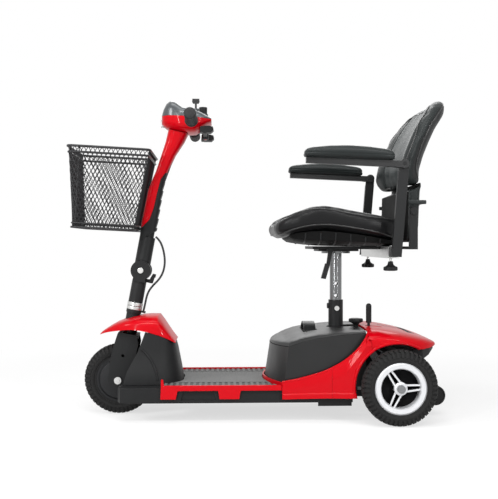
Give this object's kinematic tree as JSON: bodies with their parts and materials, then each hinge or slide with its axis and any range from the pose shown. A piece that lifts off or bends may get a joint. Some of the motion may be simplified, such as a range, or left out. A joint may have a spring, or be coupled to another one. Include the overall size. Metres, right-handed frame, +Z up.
{
  "type": "mobility scooter",
  "caption": "Three-wheel travel mobility scooter with a folding tiller, wire basket, lift-out battery pack and a swivelling padded seat with flip-up armrests.",
  "frame": {"origin": "middle of the bounding box, on the ground", "axes": "-X forward, -Y to the rider's left, +Z up"},
  "size_m": [1.0707, 0.5338, 0.913],
  "materials": {
    "frame_black": "satin powder coat",
    "body_red": "glossy moulded plastic",
    "body_black": "fine-textured moulded plastic",
    "pack_black": "fine-textured moulded plastic",
    "mat_grey": "ribbed rubber",
    "console_grey": "metallic grey plastic",
    "soft_black": "soft rubber",
    "tyre_black": "moulded tread",
    "rim_silver": "satin",
    "rim_grey": "satin",
    "steel": "zinc plated",
    "cast": "as cast",
    "motor_black": "satin",
    "cell_grey": "moulded",
    "lens_clear": "clear",
    "horn_yellow": "gloss",
    "seat_vinyl": "black vinyl",
    "back_vinyl": "grained dark grey vinyl"
  },
  "bodies": {
    "chassis": {"main_frame": "frame_black", "deck_pan": "body_black", "deck_mat": "mat_grey", "deck_trims": "body_red", "front_cowl": "body_red", "leg_shield": "body_black", "rear_shroud": "body_red", "rear_bumper": "body_black", "seat_socket": "frame_black", "drive_motor": "motor_black", "transaxle": "cast", "frame_bolts": "steel"},
    "battery": {"battery_case": "pack_black", "battery_lid": "pack_black", "battery_handle": "pack_black", "battery_cells": "cell_grey"},
    "lock_knob": {"lock_knob": "body_black"},
    "fork": {"fork": "frame_black", "steering_stem": "frame_black", "stem_hardware": "steel", "front_axle": "steel", "control_cable": "soft_black"},
    "front_wheel": {"front_tyre": "tyre_black", "front_rim": "rim_grey"},
    "rear_wheel_left": {"rear_tyre_left": "tyre_black", "rear_rim_left": "rim_silver", "rear_axle_left": "steel"},
    "rear_wheel_right": {"rear_tyre_right": "tyre_black", "rear_rim_right": "rim_silver", "rear_axle_right": "steel"},
    "anti_tip": {"anti_tip_wheels": "soft_black"},
    "tilt_lock": {"tilt_lock_lever": "body_black"},
    "tiller": {"tiller_stem": "frame_black", "tiller_cover_front": "body_red", "tiller_cover_rear": "body_black", "head_shell": "body_red", "console": "console_grey", "headlight_lens": "lens_clear", "handlebar_grips": "soft_black"},
    "key": {"ignition_key": "body_black"},
    "dial": {"speed_dial": "body_black"},
    "horn": {"horn_button": "horn_yellow"},
    "paddles": {"throttle_paddles": "body_black"},
    "basket": {"basket": "frame_black"},
    "freewheel": {"freewheel_lever": "body_black"},
    "seat_post": {"seat_post": "steel"},
    "seat": {"seat_base": "frame_black", "seat_pan": "body_black", "seat_cushion": "seat_vinyl"},
    "swivel_lever": {"swivel_lever": "body_black"},
    "arm_left": {"arm_leg_left": "frame_black"},
    "rest_left": {"arm_bar_left": "body_black", "arm_pad_left": "back_vinyl"},
    "arm_right": {"arm_leg_right": "frame_black"},
    "rest_right": {"arm_bar_right": "body_black", "arm_pad_right": "back_vinyl"},
    "arm_knob_left": {"arm_knob_left": "body_black"},
    "arm_knob_right": {"arm_knob_right": "body_black"},
    "backrest": {"backrest_shell": "body_black", "backrest_cushion": "back_vinyl"}
  },
  "joints": [
    {"name": "steering", "type": "hinge", "parent": "chassis", "child": "fork", "pos_m": [-0.3402, 0, 0.416], "axis": [0.1822, 0, 0.9833], "range_deg": [-40, 40]},
    {"name": "front_wheel_spin", "type": "hinge", "parent": "fork", "child": "front_wheel", "pos_m": [-0.4032, 0, 0.1015], "axis": [0, 1, 0], "continuous": true},
    {"name": "rear_wheel_left_spin", "type": "hinge", "parent": "chassis", "child": "rear_wheel_left", "pos_m": [0.3748, -0.203, 0.1035], "axis": [0, 1, 0], "continuous": true},
    {"name": "rear_wheel_right_spin", "type": "hinge", "parent": "chassis", "child": "rear_wheel_right", "pos_m": [0.3748, 0.203, 0.1035], "axis": [0, 1, 0], "continuous": true},
    {"name": "anti_tip_spin", "type": "hinge", "parent": "chassis", "child": "anti_tip", "pos_m": [0.5048, 0, 0.06], "axis": [0, 1, 0], "continuous": true},
    {"name": "tiller_fold", "type": "hinge", "parent": "fork", "child": "tiller", "pos_m": [-0.3402, 0, 0.416], "axis": [0, 1, 0], "range_deg": [-8, 26], "deforming": ["control_cable"]},
    {"name": "tilt_lock_pull", "type": "hinge", "parent": "fork", "child": "tilt_lock", "pos_m": [-0.31267, 0, 0.38344], "axis": [0, 1, 0], "range_deg": [0, 25], "stiffness_Nm_per_rad": 0.3},
    {"name": "throttle_swing", "type": "hinge", "parent": "tiller", "child": "paddles", "pos_m": [-0.1532, 0, 0.812], "axis": [0, 0, 1], "range_deg": [-12, 12], "stiffness_Nm_per_rad": 1},
    {"name": "key_turn", "type": "hinge", "parent": "tiller", "child": "key", "pos_m": [-0.1802, -0.028, 0.89], "axis": [0, 0, 1], "range_deg": [0, 60]},
    {"name": "speed_dial_turn", "type": "hinge", "parent": "tiller", "child": "dial", "pos_m": [-0.1602, 0.028, 0.88], "axis": [0, 0, 1], "range_deg": [-135, 135]},
    {"name": "horn_press", "type": "slide", "parent": "tiller", "child": "horn", "axis": [0, 0, -1], "range_m": [0, 0.003], "stiffness_N_per_m": 600},
    {"name": "basket_lift", "type": "slide", "parent": "tiller", "child": "basket", "axis": [0, 0, 1], "range_m": [0, 0.06]},
    {"name": "battery_lift", "type": "slide", "parent": "chassis", "child": "battery", "axis": [0, 0, 1], "range_m": [0, 0.1]},
    {"name": "lock_knob_turn", "type": "hinge", "parent": "battery", "child": "lock_knob", "pos_m": [0.2818, -0.052, 0.265], "axis": [0, 0, 1], "continuous": true},
    {"name": "freewheel_pull", "type": "hinge", "parent": "chassis", "child": "freewheel", "pos_m": [0.3178, -0.06, 0.2], "axis": [0, 1, 0], "range_deg": [0, 25]},
    {"name": "seat_height", "type": "slide", "parent": "chassis", "child": "seat_post", "axis": [0, 0, 1], "range_m": [0, 0.072]},
    {"name": "seat_swivel", "type": "hinge", "parent": "seat_post", "child": "seat", "pos_m": [0.2308, 0, 0.47], "axis": [0, 0, -1], "range_deg": [-90, 90]},
    {"name": "swivel_lever_pull", "type": "hinge", "parent": "seat", "child": "swivel_lever", "pos_m": [0.1998, -0.106, 0.472], "axis": [0, 1, 0], "range_deg": [0, 20], "stiffness_Nm_per_rad": 0.5},
    {"name": "arm_slide_left", "type": "slide", "parent": "seat", "child": "arm_left", "axis": [0, -1, 0], "range_m": [0, 0.04]},
    {"name": "arm_slide_right", "type": "slide", "parent": "seat", "child": "arm_right", "axis": [0, 1, 0], "range_m": [0, 0.04]},
    {"name": "arm_flip_left", "type": "hinge", "parent": "arm_left", "child": "rest_left", "pos_m": [0.3788, -0.24, 0.706], "axis": [0, 1, 0], "range_deg": [0, 95]},
    {"name": "arm_flip_right", "type": "hinge", "parent": "arm_right", "child": "rest_right", "pos_m": [0.3788, 0.24, 0.706], "axis": [0, 1, 0], "range_deg": [0, 95]},
    {"name": "arm_knob_left_turn", "type": "hinge", "parent": "seat", "child": "arm_knob_left", "pos_m": [0.3578, -0.168, 0.44], "axis": [0, 0, 1], "continuous": true},
    {"name": "arm_knob_right_turn", "type": "hinge", "parent": "seat", "child": "arm_knob_right", "pos_m": [0.3578, 0.168, 0.44], "axis": [0, 0, 1], "continuous": true},
    {"name": "backrest_fold", "type": "hinge", "parent": "seat", "child": "backrest", "pos_m": [0.4168, 0, 0.583], "axis": [0, 1, 0], "range_deg": [-70, 0]}
  ]
}
